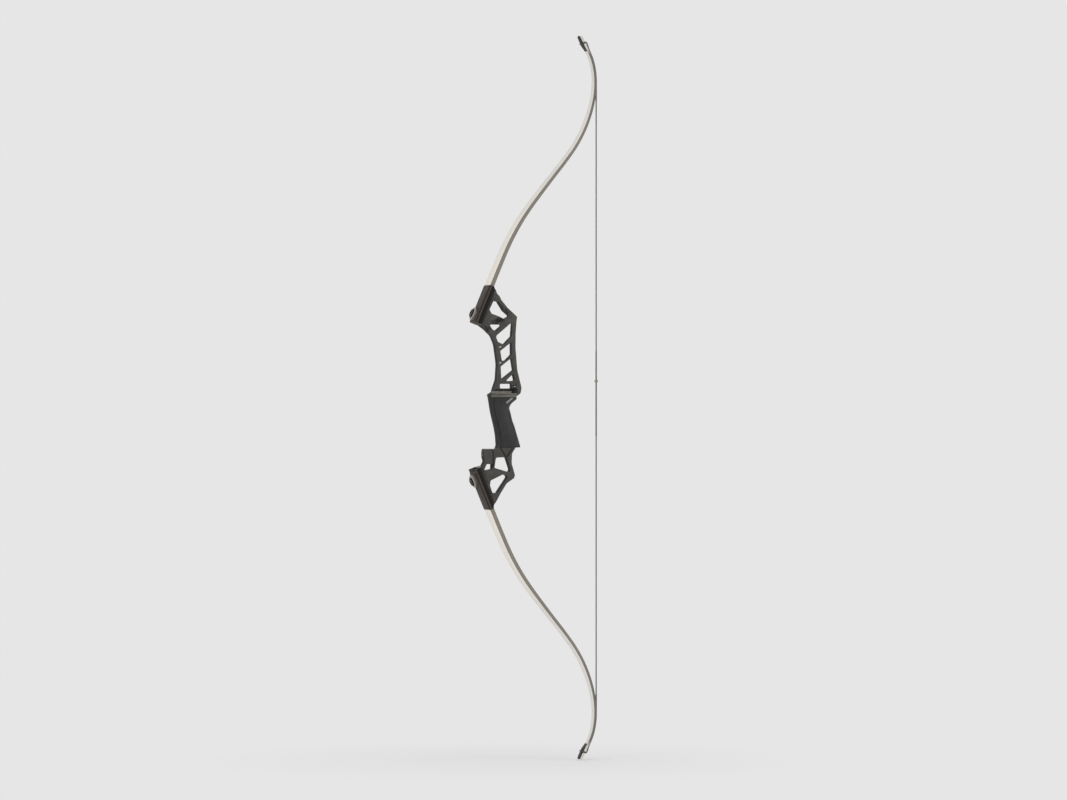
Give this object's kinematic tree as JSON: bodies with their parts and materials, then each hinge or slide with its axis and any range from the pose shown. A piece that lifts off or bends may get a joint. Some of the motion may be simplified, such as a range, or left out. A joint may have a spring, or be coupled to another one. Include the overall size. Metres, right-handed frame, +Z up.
{
  "type": "recurve bow",
  "caption": "Takedown recurve bow with a lattice metal riser, moulded grip, two laminated limbs on bolts and a strung bowstring that draws with the limbs.",
  "frame": {"origin": "throat of the grip in the bow's centre plane, where the web of the hand sits", "axes": "+Z up along the bow towards the upper limb, +X towards the archer and the string, +Y to the archer's right"},
  "size_m": [0.2809, 0.05, 1.5242],
  "materials": {
    "riser_metal": "satin black powder coat",
    "grip": "fine moulded texture",
    "steel": "bright plated",
    "black_steel": "black oxide",
    "brass": "turned",
    "pad": "short felt",
    "rest_plastic": "moulded",
    "limb_glass": "semi-gloss cream fibreglass",
    "limb_core": "sanded grey-brown laminated edge",
    "overlay": "dark satin laminate",
    "string": "waxed polyester strands",
    "serving": "tight wound thread"
  },
  "bodies": {
    "riser": {"riser": "riser_metal", "grip": "grip", "grip_screws": "steel", "shelf_pad": "pad", "arrow_rest": "rest_plastic", "plunger_bushing": "black_steel", "sight_bushings": "steel", "stabiliser_bushing": "steel", "upper_limb_insert": "steel", "lower_limb_insert": "steel", "upper_locating_pin": "steel", "lower_locating_pin": "steel", "upper_limb_butt": "limb_core", "lower_limb_butt": "limb_core", "upper_butt_cover": "overlay", "lower_butt_cover": "overlay"},
    "upper_limb": {"upper_limb_core": "limb_core", "upper_front_glass": "limb_glass", "upper_belly_glass": "limb_glass", "upper_tip_overlay": "overlay"},
    "lower_limb": {"lower_limb_core": "limb_core", "lower_front_glass": "limb_glass", "lower_belly_glass": "limb_glass", "lower_tip_overlay": "overlay"},
    "upper_string": {"upper_string": "string", "upper_centre_serving": "serving", "upper_end_serving": "serving", "upper_string_loop": "serving", "nock_locator": "brass"},
    "lower_string": {"lower_string": "string", "lower_centre_serving": "serving", "lower_end_serving": "serving", "lower_string_loop": "serving"},
    "upper_washer": {"upper_limb_washer": "steel"},
    "lower_washer": {"lower_limb_washer": "steel"},
    "upper_bolt": {"upper_limb_bolt": "black_steel"},
    "lower_bolt": {"lower_limb_bolt": "black_steel"}
  },
  "joints": [
    {"name": "upper_limb_flex", "type": "hinge", "parent": "riser", "child": "upper_limb", "pos_m": [-0.04234, 0, 0.25378], "axis": [0, 1, 0], "range_deg": [0, 18.46], "stiffness_Nm_per_rad": 150, "deforming": ["upper_limb_core", "upper_front_glass", "upper_belly_glass"]},
    {"name": "lower_limb_flex", "type": "hinge", "parent": "riser", "child": "lower_limb", "pos_m": [-0.04234, 0, -0.21378], "axis": [0, 1, 0], "range_deg": [-17.73, 0], "stiffness_Nm_per_rad": 150, "deforming": ["lower_limb_core", "lower_front_glass", "lower_belly_glass"]},
    {"name": "upper_string_swing", "type": "hinge", "parent": "upper_limb", "child": "upper_string", "pos_m": [0.16312, 0, 0.76691], "axis": [0, 1, 0], "range_deg": [-45.52, 0], "deforming": ["upper_string", "upper_centre_serving", "upper_end_serving", "upper_string_loop"]},
    {"name": "lower_string_swing", "type": "hinge", "parent": "lower_limb", "child": "lower_string", "pos_m": [0.16312, 0, -0.72691], "axis": [0, 1, 0], "range_deg": [0, 43.11], "deforming": ["lower_string", "lower_centre_serving", "lower_end_serving", "lower_string_loop"]},
    {"name": "upper_washer_lift", "type": "slide", "parent": "riser", "child": "upper_washer", "axis": [-0.9239, 0, 0.3827], "range_m": [0, 0.00625]},
    {"name": "upper_bolt_turn", "type": "hinge", "parent": "upper_washer", "child": "upper_bolt", "pos_m": [-0.07214, 0, 0.1936], "axis": [-0.9239, 0, 0.3827], "range_deg": [0, 1801]},
    {"name": "lower_washer_lift", "type": "slide", "parent": "riser", "child": "lower_washer", "axis": [-0.9239, 0, -0.3827], "range_m": [0, 0.00625]},
    {"name": "lower_bolt_turn", "type": "hinge", "parent": "lower_washer", "child": "lower_bolt", "pos_m": [-0.07214, 0, -0.1536], "axis": [-0.9239, 0, -0.3827], "range_deg": [0, 1801]}
  ],
  "couplings": [
    {"joint": "lower_limb_flex", "follows": "upper_limb_flex", "ratio": -0.95961},
    {"joint": "upper_string_swing", "follows": "upper_limb_flex", "ratio": -2.465},
    {"joint": "lower_string_swing", "follows": "upper_limb_flex", "ratio": 2.334},
    {"joint": "upper_bolt_turn", "follows": "upper_washer_lift", "rad_per_m": 5026.5},
    {"joint": "lower_bolt_turn", "follows": "lower_washer_lift", "rad_per_m": 5026.5}
  ]
}
